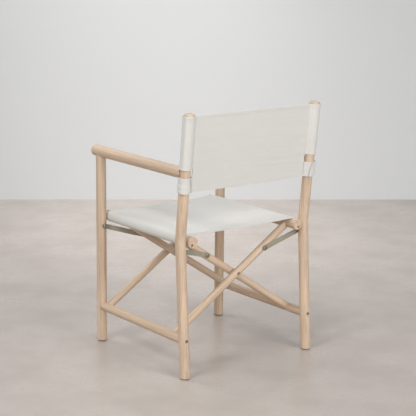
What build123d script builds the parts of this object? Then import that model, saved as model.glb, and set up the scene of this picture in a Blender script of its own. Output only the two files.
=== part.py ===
from build123d import *
import os
from math import atan2, cos, degrees, hypot, radians, sin, tan

os.makedirs("parts", exist_ok=True)

# Folding director chair, in millimetres. +Z is up, the sitter looks along -Y, +X is the sitter's left.
# The origin is on the floor, midway between the outermost faces.

# Overall sizes
post_spacing = 512.0  # left post axis to right post axis
leg_depth = 482.0  # front post axis to the foot of the back post
chair_height = 850.0  # floor to the top of the back posts
bend_height = 443.0  # where the back posts change direction
bend_forward = 30.0  # bend ahead of the back foot
rake_back = 41.0  # top of the back posts behind the bend
bend_radius = 160.0

# Round wood
post_d = 34.0
arm_d = 37.0
low_rail_d = 30.0
seat_rail_d = 36.0
bar_d = 25.0
post_top_round = 4.0
rail_end_round = 1.2
arm_end_round = 9.0
cope_start = 3.0  # a cross bar's coped end starts this far from the rail's axis

# Heights of the axes
arm_height = 663.0
low_rail_height = 125.0
seat_rail_height = 437.0
strap_post_height = 409.0

# Lengths and offsets
arm_overhang = 38.0  # front of the arm ahead of the front post axis
rail_post_gap = 2.5  # seat rail surface to post surface
seat_rail_overhang = 16.5  # seat rail ends beyond the post axes
outer_front_inset = 35.5  # front post axis back to the outer cross bar
outer_rear_inset = 66.0  # back foot forward to the outer cross bar
spacer_t = 7.0  # washer between crossing bars
spacer_d = 16.0
strap_bar_inset = 148.0  # post axis to the strap's bolt on the bar

# Fits
body_gap = 0.3  # between parts that move past each other
pin_gap = 0.05  # radial clearance of pivots
seat_depth = 8.7  # pocket in the post for the end of a lower rail
tenon_d = 15.0
tenon_in_low_rail = 13.0
tenon_in_seat_rail = 8.0
arm_tenon_d = 20.0
arm_tenon_depth = 15.0
dowel_d = 12.0
dowel_reach = 22.0
canvas_room = 2.0  # the arm's coped end stands this far off the back post

# Metalwork
strap_width = 16.5
strap_t = 3.0
strap_bar_flat = 54.0  # straight stretch at the bar before the joggle
strap_post_flat = 22.0
strap_head_d = 15.5
strap_head_h = 4.2
strap_head_round = 2.6
strap_bolt_d = 6.0
strap_washer_d = 13.0
strap_washer_t = 4.0  # between post and strap, let into the post
strap_spot_depth = 1.5
insert_d = 10.0
insert_length = 14.0
bar_insert_length = 11.0
insert_sink = 1.0
pivot_bolt_d = 8.0
pivot_head_d = 11.0
pivot_head_h = 5.0
socket_head_round = 1.0
pivot_recess = 7.5
pivot_reach = 13.0  # bolt into the rail's bush
bush_d = 12.0
bush_length = 14.0
cross_bolt_d = 6.0
cross_head_d = 10.0
cross_head_h = 4.0
cross_recess = 5.0
nut_d = 9.0
nut_length = 9.0
nut_sink = 1.0
socket_across = 4.0
socket_depth = 2.0
recess_clear = 0.25
over_cut = 1.0  # a cutter runs this far past the face that it opens

# Foot glides
glide_d = 25.0
glide_t = 3.0
glide_chamfer = 0.8
glide_pin_d = 5.0
glide_pin_length = 14.0

# Canvas
canvas_t = 1.2
canvas_end_inset = 22.0  # seat canvas edge short of the rail ends
keder_d = 5.5
keyhole_d = 8.0
keyhole_depth = 9.0  # rail axis to the hole's axis
keyhole_angle = 20.0  # from straight down, towards the post
slit_angle = 33.0
slit_w = 2.2
canvas_lip = 2.0  # degrees that the canvas runs on past the slit's mouth
sleeve_top = 840.0
sleeve_cut_top = 676.0
sleeve_cut_bottom = 651.0
sleeve_bottom = 602.0
seam_inboard = 23.5  # post axis to the seam between sleeve and panel
seam_back = 3.0
seam_d = 3.0

# Places that follow
half = post_spacing / 2
post_r = post_d / 2
bar_r = bar_d / 2
rail_offset = post_r + rail_post_gap + seat_rail_d / 2
low_lean = atan2(bend_forward, bend_height)
rake = atan2(rake_back, chair_height - bend_height)
sleeve_r = post_r + body_gap + canvas_t
sleeve_rise = sleeve_top - bend_height
sleeve_reach = sleeve_rise * tan(rake) + sleeve_r * cos(rake)
total_depth = arm_overhang + leg_depth - bend_forward + sleeve_reach
y_front = arm_overhang - total_depth / 2
y_foot = y_front + leg_depth
y_bend = y_foot - bend_forward
y_top = y_bend + rake_back
rise = seat_rail_height - low_rail_height
run = post_spacing - rail_offset
bar_angle = atan2(rise, run)
rail_span = run * cos(bar_angle) + rise * sin(bar_angle)
cross_height = low_rail_height + half * tan(bar_angle)
seat_rail_x = half - rail_offset
strap_bar_x = half - strap_bar_inset
strap_bar_height = low_rail_height + (half + strap_bar_x) * tan(bar_angle)
strap_length = hypot(strap_bar_inset, strap_post_height - strap_bar_height)
seat_rail_y = (y_front - seat_rail_overhang, y_bend + seat_rail_overhang)
canvas_y = (seat_rail_y[0] + canvas_end_inset, seat_rail_y[1] - canvas_end_inset)
bar_pitch = bar_d + spacer_t
outer_y = {"front": y_front + outer_front_inset, "rear": y_foot - outer_rear_inset}
inner_y = {"front": outer_y["front"] + bar_pitch, "rear": outer_y["rear"] - bar_pitch}
sides = {"left": 1, "right": -1}


def back_axis_y(z):
    """Y of the back post's axis at height z."""
    if z < bend_height:
        return y_foot - z * tan(low_lean)
    return y_bend + (z - bend_height) * tan(rake)


def along_y(x, z, y0, y1, d):
    """Round bar parallel to Y."""
    low = min(y0, y1)
    bar = Cylinder(d / 2, abs(y1 - y0), align=(Align.CENTER, Align.CENTER, Align.MIN))
    return Pos(x, low, z) * Rot(-90, 0, 0) * bar


def along_z(x, y, z0, z1, d):
    """Round bar parallel to Z."""
    bar = Cylinder(d / 2, z1 - z0, align=(Align.CENTER, Align.CENTER, Align.MIN))
    return Pos(x, y, z0) * bar


def between(start, end, d):
    """Round bar from one point to another."""
    line = Vector(*end) - Vector(*start)
    bar = Cylinder(d / 2, line.length, align=(Align.CENTER, Align.CENTER, Align.MIN))
    return Plane(origin=start, z_dir=line) * bar


def ease_ends(bar, radius):
    """Round both end edges of a bar along Y."""
    ends = bar.edges().filter_by(GeomType.CIRCLE)
    return fillet(ends, radius)


def save(name, *solids):
    """Write one node; several pieces make a group of separate solids."""
    shape = solids[0] if len(solids) == 1 else Compound(children=list(solids))
    shape.label = name
    export_step(shape, f"parts/{name}.step")


def socket_bolt(x, z, y_seat, outward, head_d, head_h, round_edge, shank_d, shank_length):
    """Socket-head bolt along Y. Its head stands on y_seat and points outward (+1 or -1)."""
    y_crown = y_seat + outward * head_h
    head = along_y(x, z, y_seat, y_crown, head_d)
    rim = head.edges().sort_by(Axis.Y)[-1 if outward > 0 else 0]
    head = fillet(rim, round_edge)
    shank = along_y(x, z, y_seat, y_seat - outward * shank_length, shank_d)
    hexagon = extrude(RegularPolygon(socket_across / 2, 6, major_radius=False), socket_depth + over_cut)
    turn = Rot(90, 0, 0) if outward > 0 else Rot(-90, 0, 0)
    socket = Pos(x, y_crown + outward * over_cut, z) * turn * hexagon
    return head + shank - socket


# Side frames


def post_cuts(x, y_axis, inward, z_pivot):
    """Pocket, bolt way and recess for the lower rail in a post, at the rail's height."""
    pocket_floor = y_axis(z_pivot) + inward * (post_r - seat_depth)
    pocket = along_y(x, z_pivot, pocket_floor, pocket_floor + inward * post_d, low_rail_d + 2 * body_gap)
    bolt_seat = y_axis(z_pivot) - inward * (post_r - pivot_recess)
    way_ends = (bolt_seat - inward * over_cut, pocket_floor + inward * over_cut)
    way = along_y(x, z_pivot, *way_ends, pivot_bolt_d + 2 * pin_gap)
    recess_d = pivot_head_d + 2 * recess_clear
    recess = along_y(x, z_pivot, bolt_seat, bolt_seat - inward * post_d, recess_d)
    return pocket + way + recess


def strap_spot(y_axis, inward):
    """Y of the flat let into a post under a strap's washer."""
    return y_axis(strap_post_height) + inward * (post_r - strap_spot_depth)


def strap_pivot_cuts(x, y_axis, inward):
    """Flat for the washer and blind hole for the threaded insert at a strap's pivot."""
    spot = strap_spot(y_axis, inward)
    flat = along_y(x, strap_post_height, spot, spot + inward * post_r, strap_washer_d + 2 * recess_clear)
    hole_ends = (spot - inward * insert_length, spot + inward * over_cut)
    hole = along_y(x, strap_post_height, *hole_ends, insert_d)
    return flat + hole


def glide_hole(x, y):
    return along_z(x, y, 0, glide_t + glide_pin_length, glide_pin_d)


def front_axis_y(z):
    """Y of the front post's axis, which stands upright."""
    return y_front


def front_post(x):
    post = along_z(x, y_front, glide_t, arm_height, post_d)
    post = post - along_y(x, arm_height, y_front - post_d, y_front + post_d, arm_d)
    post = post - along_z(x, y_front, arm_height - arm_d / 2 - dowel_reach, arm_height, dowel_d)
    post = post - post_cuts(x, front_axis_y, 1, low_rail_height)
    post = post - strap_pivot_cuts(x, front_axis_y, 1)
    return post - glide_hole(x, y_front)


def back_post(x):
    below = post_r  # the leaning tube starts under the floor and is cut level
    start = (x, y_foot + below * tan(low_lean), -below)
    path = FilletPolyline(start, (x, y_bend, bend_height), (x, y_top, chair_height), radius=bend_radius)
    section = Plane(origin=start, z_dir=path % 0) * Circle(post_r)
    post = sweep(section, path=path)
    top = post.edges().filter_by(GeomType.CIRCLE).sort_by(Axis.Z)[-1]
    post = fillet(top, post_top_round)
    waste = Box(3 * post_d, 3 * post_d, 3 * post_d, align=(Align.CENTER, Align.CENTER, Align.MAX))
    post = post - Pos(x, y_foot, glide_t) * waste
    post = post - post_cuts(x, back_axis_y, -1, low_rail_height)
    post = post - strap_pivot_cuts(x, back_axis_y, -1)
    tenon_tip = back_axis_y(arm_height) - post_r + arm_tenon_depth
    post = post - along_y(x, arm_height, tenon_tip - post_d, tenon_tip, arm_tenon_d)
    return post - glide_hole(x, y_foot)


def armrest(x):
    y_back = back_axis_y(arm_height)
    arm = along_y(x, arm_height, y_front - arm_overhang, y_back, arm_d)
    arm = fillet(arm.edges().filter_by(GeomType.CIRCLE).sort_by(Axis.Y)[0], arm_end_round)
    upper_start = (x, y_bend, bend_height)
    arm = arm - between(upper_start, (x, y_top, chair_height), post_d + 2 * canvas_room)
    arm = arm - along_z(x, y_front, arm_height - arm_d, arm_height + dowel_d / 2, dowel_d)
    tenon_tip = y_back - post_r + arm_tenon_depth
    return arm + along_y(x, arm_height, y_back - arm_d, tenon_tip, arm_tenon_d)


def arm_dowel(x):
    low = arm_height - arm_d / 2 - dowel_reach
    return along_z(x, y_front, low, arm_height + dowel_d / 2, dowel_d)


def glide(x, y):
    pad = along_z(x, y, 0, glide_t, glide_d)
    pad = chamfer(pad.edges().sort_by(Axis.Z)[0], glide_chamfer)
    return pad + along_z(x, y, glide_t / 2, glide_t + glide_pin_length, glide_pin_d)


def rail_pivot_bolt(x, y_axis, inward):
    bolt_seat = y_axis(low_rail_height) - inward * (post_r - pivot_recess)
    rail_end = y_axis(low_rail_height) + inward * (post_r - seat_depth + body_gap)
    length = abs(rail_end + inward * pivot_reach - bolt_seat)
    sizes = (pivot_head_d, pivot_head_h, socket_head_round, pivot_bolt_d, length)
    return socket_bolt(x, low_rail_height, bolt_seat, -inward, *sizes)


def strap_plane(y_face, outward):
    """Y of a strap's mid-plane where it lies on a face that points outward."""
    return y_face + outward * (body_gap + strap_t / 2)


def strap_pivot_bolt(x, y_axis, inward):
    washer_face = strap_spot(y_axis, inward) + inward * strap_washer_t
    head_seat = strap_plane(washer_face, inward) + inward * (strap_t / 2 + body_gap)
    length = strap_t + 2 * body_gap + strap_washer_t + insert_length - insert_sink
    sizes = (strap_head_d, strap_head_h, strap_head_round, strap_bolt_d, length)
    return socket_bolt(x, strap_post_height, head_seat, inward, *sizes)


def strap_washer(x, y_axis, inward):
    spot = strap_spot(y_axis, inward)
    face = spot + inward * strap_washer_t
    z = strap_post_height
    return along_y(x, z, spot, face, strap_washer_d) - along_y(x, z, spot, face, strap_bolt_d + 2 * pin_gap)


def post_insert(x, y_axis, inward):
    outer = strap_spot(y_axis, inward)
    inner = outer - inward * insert_length
    z = strap_post_height
    return along_y(x, z, inner, outer, insert_d) - along_y(x, z, inner, outer, strap_bolt_d + 2 * pin_gap)


def sleeve(x, z_low, z_high):
    """Canvas sleeve round the back post, drawn in to the seam beside the panel."""
    towards = -1 if x > 0 else 1
    origin = (x, y_bend, bend_height)
    frame = Plane(origin=origin, x_dir=(1, 0, 0), z_dir=(0, sin(rake), cos(rake)))
    low = (z_low - bend_height) / cos(rake)
    height = (z_high - z_low) / cos(rake)
    seam = Pos(towards * seam_inboard, seam_back) * Circle(seam_d / 2)
    outline = make_hull((Circle(sleeve_r) + seam).edges())
    tube = extrude(outline - Circle(sleeve_r - canvas_t), height)
    return frame * Pos(0, 0, low) * tube


def back_panel():
    """Canvas between the two seams, in the raked plane of the posts."""
    width = 2 * (half - seam_inboard - seam_d / 2 - body_gap)
    low = (sleeve_bottom - bend_height) / cos(rake)
    height = (sleeve_top - sleeve_bottom) / cos(rake)
    frame = Plane(origin=(0, y_bend, bend_height), x_dir=(1, 0, 0), z_dir=(0, sin(rake), cos(rake)))
    slab = Box(width, canvas_t, height, align=(Align.CENTER, Align.CENTER, Align.MIN))
    return frame * Pos(0, seam_back, low) * slab


for side, sign in sides.items():
    x = sign * half
    save(f"front_post_{side}", front_post(x))
    save(f"back_post_{side}", back_post(x))
    save(f"armrest_{side}", armrest(x))
    save(f"arm_dowel_{side}", arm_dowel(x))
    save(f"foot_glides_{side}", glide(x, y_front), glide(x, y_foot))
    ends = ((front_axis_y, 1), (back_axis_y, -1))
    save(f"rail_pivot_bolts_{side}", *[rail_pivot_bolt(x, axis, inward) for axis, inward in ends])
    save(f"strap_pivot_bolts_{side}", *[strap_pivot_bolt(x, axis, inward) for axis, inward in ends])
    save(f"strap_washers_{side}", *[strap_washer(x, axis, inward) for axis, inward in ends])
    save(f"post_inserts_{side}", *[post_insert(x, axis, inward) for axis, inward in ends])
    lower = sleeve(x, sleeve_bottom, sleeve_cut_bottom)
    upper = sleeve(x, sleeve_cut_top, sleeve_top)
    save(f"back_sleeves_{side}", lower, upper)
save("back_panel", back_panel())


# Folding cross frames. The outer frame runs from the lower left rail to the right seat rail, and the
# inner frame from the lower right rail to the left seat rail.

low_rail_ends = (
    y_front + post_r - seat_depth + body_gap,
    back_axis_y(low_rail_height) - post_r + seat_depth - body_gap,
)


def bar_point(sign, distance):
    """Point on the bar's axis that starts at the lower rail on one side, at a distance along it."""
    return sign * (half - distance * cos(bar_angle)), low_rail_height + distance * sin(bar_angle)


def bar_tenons(sign, y):
    low_tip = low_rail_d / 2 - tenon_in_low_rail
    high_tip = rail_span - seat_rail_d / 2 + tenon_in_seat_rail
    x0, z0 = bar_point(sign, low_tip)
    x1, z1 = bar_point(sign, high_tip)
    return between((x0, y, z0), (x1, y, z1), tenon_d)


def lower_rail(sign, bar_ys):
    x = sign * half
    rail = along_y(x, low_rail_height, *low_rail_ends, low_rail_d)
    rail = ease_ends(rail, rail_end_round)
    for end, inward in zip(low_rail_ends, (1, -1)):
        mouth = end - inward * over_cut
        rail = rail - along_y(x, low_rail_height, mouth, end + inward * bush_length, bush_d)
    for y in bar_ys:
        rail = rail - bar_tenons(sign, y)
    return rail


def keyhole_centre(sign):
    """Axis of the seat rail's keyhole; sign is the rail's side."""
    angle = radians(keyhole_angle)
    x = sign * (seat_rail_x + keyhole_depth * sin(angle))
    return x, seat_rail_height - keyhole_depth * cos(angle)


def seat_rail(sign, bar_ys):
    x = sign * seat_rail_x
    rail = along_y(x, seat_rail_height, *seat_rail_y, seat_rail_d)
    rail = ease_ends(rail, rail_end_round)
    kx, kz = keyhole_centre(sign)
    y0 = seat_rail_y[0] - over_cut
    y1 = seat_rail_y[1] + over_cut
    rail = rail - along_y(kx, kz, y0, y1, keyhole_d)
    slot = Box(slit_w, y1 - y0, seat_rail_d, align=(Align.CENTER, Align.MIN, Align.MAX))
    rail = rail - Pos(kx, y0, kz) * Rot(0, -sign * slit_angle, 0) * slot
    for y in bar_ys:
        rail = rail - bar_tenons(-sign, y)
    return rail


def strap_face(y_bar, outward):
    """Y of the bar's face that a strap lies on."""
    return y_bar + outward * bar_r


def cross_bar(sign, y, outward, is_outer, face_outward):
    """Round bar from the lower rail on one side to the seat rail on the other."""
    x0, z0 = bar_point(sign, 0)
    x1, z1 = bar_point(sign, rail_span)
    low_x, low_z = bar_point(sign, cope_start)
    high_x, high_z = bar_point(sign, rail_span - cope_start)
    bar = between((low_x, y, low_z), (high_x, y, high_z), bar_d)
    bar = bar - along_y(x0, z0, y - bar_d, y + bar_d, low_rail_d)
    bar = bar - along_y(x1, z1, y - bar_d, y + bar_d, seat_rail_d)
    bar = bar + bar_tenons(sign, y)
    recess_d = (cross_head_d if is_outer else nut_d) + 2 * recess_clear
    recess_depth = cross_recess if is_outer else cross_recess + nut_length - cross_head_h
    floor = y + outward * (bar_r - recess_depth)
    bar = bar - along_y(0, cross_height, y - bar_d, y + bar_d, cross_bolt_d + 2 * pin_gap)
    bar = bar - along_y(0, cross_height, floor, floor + outward * bar_d, recess_d)
    face = strap_face(y, face_outward)
    inner = face - face_outward * (insert_sink + bar_insert_length)
    strap_x = -sign * strap_bar_x
    return bar - along_y(strap_x, strap_bar_height, inner, face + face_outward * bar_d, insert_d)


def bar_insert(sign, y, outward):
    face = strap_face(y, outward) - outward * insert_sink
    x = -sign * strap_bar_x
    z = strap_bar_height
    inner = face - outward * bar_insert_length
    return along_y(x, z, inner, face, insert_d) - along_y(x, z, inner, face, strap_bolt_d + 2 * pin_gap)


def cross_bolt(end):
    """Bolt through both crossing bars, its head sunk in the outer bar."""
    outward = -1 if end == "front" else 1
    seat = outer_y[end] + outward * (bar_r - cross_recess)
    tip = inner_y[end] - outward * (bar_r - cross_recess)
    sizes = (cross_head_d, cross_head_h, socket_head_round, cross_bolt_d, abs(seat - tip))
    return socket_bolt(0, cross_height, seat, outward, *sizes)


def spacer(end):
    low, high = sorted((outer_y[end], inner_y[end]))
    washer = along_y(0, cross_height, low + bar_r, high - bar_r - body_gap, spacer_d)
    return washer - along_y(0, cross_height, low, high, cross_bolt_d + 2 * pin_gap)


def cross_nut(end):
    """Sleeve nut sunk in the inner bar, closing the crossing bolt."""
    outward = 1 if end == "front" else -1
    mouth = inner_y[end] + outward * (bar_r - nut_sink)
    floor = mouth - outward * (nut_length - body_gap)
    nut = along_y(0, cross_height, floor, mouth, nut_d)
    way_end = inner_y[end] + outward * (bar_r - cross_recess + pin_gap)
    return nut - along_y(0, cross_height, floor - outward * over_cut, way_end, cross_bolt_d + 2 * pin_gap)


def bush(x, end, inward):
    tube = along_y(x, low_rail_height, end, end + inward * bush_length, bush_d)
    bore_ends = (end - inward * over_cut, end + inward * (bush_length + over_cut))
    return tube - along_y(x, low_rail_height, *bore_ends, pivot_bolt_d + 2 * pin_gap)


def keder(sign):
    kx, kz = keyhole_centre(sign)
    return along_y(kx, kz, *canvas_y, keder_d)


def seat_canvas():
    """Canvas over both rails, from slit to slit, as one thin sheet."""
    inner = seat_rail_d / 2 + body_gap
    outer = inner + canvas_t
    mouth = -90 + slit_angle - canvas_lip
    sweep_angle = 90 - mouth
    right = (-seat_rail_x, seat_rail_height)
    left = (seat_rail_x, seat_rail_height)
    arcs = []
    for r in (outer, inner):
        arcs.append(CenterArc(left, r, mouth, sweep_angle))
        arcs.append(CenterArc(right, r, 90, sweep_angle))
        arcs.append(Line(arcs[-2] @ 1, arcs[-1] @ 0))
    arcs.append(Line(arcs[0] @ 0, arcs[3] @ 0))
    arcs.append(Line(arcs[1] @ 1, arcs[4] @ 1))
    outline = make_face(Wire(Curve() + arcs))
    depth = canvas_y[1] - canvas_y[0]
    sheet = extrude(outline, depth, dir=(0, 0, 1))
    return Pos(0, canvas_y[1], 0) * Rot(90, 0, 0) * sheet


cross_ends = {"front": -1, "rear": 1}
for name, sign, bar_y in (("outer", 1, outer_y), ("inner", -1, inner_y)):
    low_side = "left" if sign > 0 else "right"
    high_side = "right" if sign > 0 else "left"
    ys = tuple(bar_y.values())
    save(f"lower_rail_{low_side}", lower_rail(sign, ys))
    save(f"seat_rail_{high_side}", seat_rail(-sign, ys))
    for end, outward in cross_ends.items():
        sunk = outward if name == "outer" else -outward
        bar = cross_bar(sign, bar_y[end], sunk, name == "outer", outward)
        save(f"cross_bar_{name}_{end}", bar)
    save(f"bar_inserts_{name}", *[bar_insert(sign, bar_y[end], out) for end, out in cross_ends.items()])
    bushes = [bush(sign * half, end, inward) for end, inward in zip(low_rail_ends, (1, -1))]
    save(f"rail_bushes_{low_side}", *bushes)
    save(f"keder_rod_{high_side}", keder(-sign))
save("cross_bolts", *[cross_bolt(end) for end in cross_ends])
save("cross_spacers", *[spacer(end) for end in cross_ends])
save("cross_nuts", *[cross_nut(end) for end in cross_ends])
save("seat_canvas", seat_canvas())


# Straps. Each runs from a side frame's post to the cross bar that carries that side's seat rail.


def strip_outline(points, thickness):
    """Closed outline of a strip of even thickness about a centre line."""
    upper = []
    lower = []
    for i, (s, y) in enumerate(points):
        before = points[max(i - 1, 0)]
        after = points[min(i + 1, len(points) - 1)]
        way_in = Vector(s - before[0], y - before[1])
        way_out = Vector(after[0] - s, after[1] - y)
        way_in = way_out if way_in.length == 0 else way_in
        way_out = way_in if way_out.length == 0 else way_out
        mid = way_in.normalized() + way_out.normalized()
        across = Vector(-mid.Y, mid.X).normalized()
        reach = thickness / 2 / across.dot(Vector(-way_in.Y, way_in.X).normalized())
        upper.append((s + across.X * reach, y + across.Y * reach))
        lower.append((s - across.X * reach, y - across.Y * reach))
    return upper + lower[::-1]


def strap(sign, y_post, y_bar):
    """Joggled flat strap with round ends and a hole at each end."""
    over = strap_width / 2
    centre_line = [
        (-over, y_post),
        (strap_post_flat, y_post),
        (strap_length - strap_bar_flat, y_bar),
        (strap_length + over, y_bar),
    ]
    flat = make_face(Polyline(*strip_outline(centre_line, strap_t), close=True))
    body = extrude(flat, strap_width / 2, both=True)
    length = strap_length + strap_width
    ends = Pos(strap_length / 2, 0) * SlotOverall(length, strap_width)
    body = body & Rot(-90, 0, 0) * extrude(ends, leg_depth, both=True)
    for s in (0, strap_length):
        body = body - along_y(s, 0, -leg_depth, leg_depth, strap_bolt_d + 2 * pin_gap)
    dx = -sign * strap_bar_inset
    dz = strap_bar_height - strap_post_height
    return Pos(sign * half, 0, strap_post_height) * Rot(0, degrees(atan2(-dz, dx)), 0) * body


def strap_bar_bolt(sign, y_bar, outward):
    """Bolt at the bar end of a strap. Its shank stops at the bar's face."""
    face = strap_face(y_bar, outward)
    head_seat = strap_plane(face, outward) + outward * strap_t / 2
    sizes = (strap_head_d, strap_head_h, strap_head_round, strap_bolt_d + 2 * pin_gap, strap_t)
    return socket_bolt(sign * strap_bar_x, strap_bar_height, head_seat, outward, *sizes)


washer_faces = {
    "front": strap_spot(front_axis_y, 1) + strap_washer_t,
    "rear": strap_spot(back_axis_y, -1) - strap_washer_t,
}
for side, sign in sides.items():
    bar_y = inner_y if sign > 0 else outer_y
    bolts = []
    for end, outward in cross_ends.items():
        y_post = strap_plane(washer_faces[end], -outward)
        y_bar = strap_plane(strap_face(bar_y[end], outward), outward)
        save(f"strap_{end}_{side}", strap(sign, y_post, y_bar))
        bolts.append(strap_bar_bolt(sign, bar_y[end], outward))
    save(f"strap_bar_bolts_{side}", *bolts)

print("front post y", round(y_front, 3), "foot y", round(y_foot, 3), "bend y", round(y_bend, 3))
print("bar angle", round(degrees(bar_angle), 4), "crossing height", round(cross_height, 3))
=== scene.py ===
"""Looks for a folding director chair: oiled wood, painted straps and canvas seat and back."""

from math import atan2, ceil, cos, exp, hypot, pi, radians, sin

import bmesh
import bpy
from mathutils import Matrix, Vector, noise


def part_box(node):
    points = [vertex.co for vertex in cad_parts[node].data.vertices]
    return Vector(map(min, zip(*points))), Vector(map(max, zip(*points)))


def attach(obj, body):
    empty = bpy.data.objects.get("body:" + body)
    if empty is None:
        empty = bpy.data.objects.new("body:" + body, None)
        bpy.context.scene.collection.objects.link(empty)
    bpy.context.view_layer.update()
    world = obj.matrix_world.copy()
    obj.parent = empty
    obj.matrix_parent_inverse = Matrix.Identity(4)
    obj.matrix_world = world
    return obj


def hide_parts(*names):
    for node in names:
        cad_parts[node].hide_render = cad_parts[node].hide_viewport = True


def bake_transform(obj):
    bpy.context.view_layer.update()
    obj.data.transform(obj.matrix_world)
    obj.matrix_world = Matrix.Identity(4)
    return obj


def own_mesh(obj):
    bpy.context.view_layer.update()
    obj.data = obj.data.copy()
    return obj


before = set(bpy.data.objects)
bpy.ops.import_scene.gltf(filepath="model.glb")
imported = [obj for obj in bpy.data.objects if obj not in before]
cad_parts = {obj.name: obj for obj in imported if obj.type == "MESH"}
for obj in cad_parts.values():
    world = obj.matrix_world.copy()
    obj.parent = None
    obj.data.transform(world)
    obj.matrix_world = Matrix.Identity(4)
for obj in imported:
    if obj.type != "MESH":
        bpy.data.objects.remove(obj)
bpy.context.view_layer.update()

bl_info = {
    "name": "Folding director chair",
    "version": (1, 0, 0),
    "blender": (4, 5, 0),
    "location": "3D View > Sidebar > Chair",
    "description": "Canvas, stitching and finishes for a folding director chair",
    "category": "Object",
}

SIDES = {"left": 1, "right": -1}

# Places read from the frame, in metres.
rail_low, rail_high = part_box("seat_rail_left")
RAIL_X = (rail_low.x + rail_high.x) / 2
RAIL_Z = (rail_low.z + rail_high.z) / 2
RAIL_R = (rail_high.z - rail_low.z) / 2
canvas_low, canvas_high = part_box("seat_canvas")
post_low, post_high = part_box("back_post_left")
glide_low, glide_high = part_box("foot_glides_left")
POST_X = (post_low.x + post_high.x) / 2
POST_R = (post_high.x - post_low.x) / 2
GLIDE_R = (glide_high.x - glide_low.x) / 2

# The back posts step forward to a bend, and their upper part leans back from there.
BEND_HEIGHT = 0.443
BEND_FORWARD = 0.030
RAKE_BACK = 0.041
RAKE_RISE = 0.407
BEND_Y = glide_high.y - GLIDE_R - BEND_FORWARD
RAKE = atan2(RAKE_BACK, RAKE_RISE)


# ---------------------------------------------------------------- settings


def length(name, description, default):
    return bpy.props.FloatProperty(name=name, description=description, default=default, unit="LENGTH")


def power(name, description, default):
    return bpy.props.FloatProperty(name=name, description=description, default=default, unit="POWER")


def angle(name, description, default):
    return bpy.props.FloatProperty(name=name, description=description, default=default, subtype="ANGLE")


def colour_of(name, description, default):
    return bpy.props.FloatVectorProperty(
        name=name, description=description, default=default, subtype="COLOR"
    )


class ChairCanvasSettings(bpy.types.PropertyGroup):
    """Sizes of the canvas and its sewing."""

    thickness: length("Thickness", "Thickness of one layer of canvas", 0.0012)
    hem: length("Hem", "Width of the folded hems", 0.0095)
    hem_extra: length("Hem build-up", "Extra half thickness in a hem", 0.0006)
    stitch_pitch: length("Stitch pitch", "Distance from one stitch to the next", 0.0034)
    stitch_length: length("Stitch length", "Visible length of a stitch", 0.0026)
    thread: length("Thread", "Radius of the sewing thread", 0.00032)
    yarn_pitch: length("Yarn pitch", "Distance between neighbouring yarns", 0.0009)
    looseness: length("Sleeve looseness", "Space between sleeve and post", 0.0013)
    slit: length("Slit", "Gap between the lower sleeve's laps", 0.0030)
    allowance: length("Seam allowance", "Strip of cloth inside the back panel's side seams", 0.030)
    side_fold: bpy.props.FloatProperty(
        name="Side fold", description="Place of the sleeve's pressed fold, as a share of the way round",
        default=0.40, subtype="FACTOR",
    )
    seat_sag: length("Seat sag", "Dip in the middle of the seat", 0.005)
    back_bow: length("Back bow", "How far the back panel's middle stands behind its seams", 0.0035)
    colour: colour_of("Canvas", "Colour of the yarn", (0.73, 0.717, 0.682))
    # Painted shade: the yarn colour darkened, laid into the hollows between the yarns where shade falls.
    shade: colour_of("Canvas shade", "Colour between the yarns", (0.53, 0.515, 0.475))


class ChairFinishSettings(bpy.types.PropertyGroup):
    """Colours of the wood, metal and small parts."""

    early_wood: colour_of("Early wood", "Pale wood between the rings", (0.69, 0.53, 0.395))
    late_wood: colour_of("Late wood", "Darker wood of the rings", (0.53, 0.375, 0.245))
    ring_spacing: length("Ring spacing", "Width of one year's growth", 0.0031)
    paint: colour_of("Strap paint", "Powder coat of the straps", (0.35, 0.32, 0.25))
    bronze: colour_of("Bolt plating", "Dark plating of the bolts", (0.40, 0.36, 0.27))
    brass: colour_of("Brass", "Bushes and threaded inserts", (0.56, 0.41, 0.18))
    nylon: colour_of("Glides", "Nylon of the foot glides", (0.055, 0.050, 0.046))
    rod: colour_of("Canvas rods", "Rods in the seat canvas's hems", (0.55, 0.52, 0.45))


class ChairStageSettings(bpy.types.PropertyGroup):
    """Floor, wall, lights and camera."""

    floor: colour_of("Floor", "Colour of the concrete floor", (0.53, 0.475, 0.43))
    floor_dark: colour_of("Floor patches", "Colour of the floor's darker patches", (0.43, 0.38, 0.34))
    wall: colour_of("Wall", "Colour of the wall", (0.735, 0.747, 0.75))
    wall_distance: length("Wall distance", "From the chair to the wall", 2.36)
    wall_azimuth: angle("Wall azimuth", "Direction that the wall faces", radians(55.4))
    camera_azimuth: angle("Camera azimuth", "Direction from the chair to the camera", radians(52.26))
    camera_elevation: angle("Camera elevation", "How far the camera looks down", radians(12.51))
    camera_roll: angle("Camera roll", "Tilt of the picture", radians(0.67))
    camera_distance: length("Camera distance", "From the camera to its target", 4.40)
    camera_target: bpy.props.FloatVectorProperty(
        name="Camera target", description="The point in the middle of the picture", subtype="XYZ",
        default=(-0.0435, -0.0322, 0.4673),
    )
    lens: bpy.props.FloatProperty(
        name="Lens", description="Focal length on a 36 mm sensor, in millimetres", default=111.73
    )
    key_left: power("Left light", "Soft light to the camera's left", 200.0)
    key_right: power("Right light", "Soft light to the camera's right", 82.0)
    fill: power("Fill light", "Broad light from the camera's side", 58.0)
    front: power("Front light", "Broad light on the chair's front", 62.0)
    wall_high: power("High wall light", "Light on the wall's upper middle", 84.0)
    wall_wide: power("Wide wall light", "Light over the whole wall", 50.0)
    floor_pool: power("Floor light", "Pool of light on the floor behind the chair", 200.0)
    ambient: bpy.props.FloatProperty(
        name="Ambient", description="Strength of the light from all round", default=0.40
    )


# ---------------------------------------------------------------- shader groups


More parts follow.
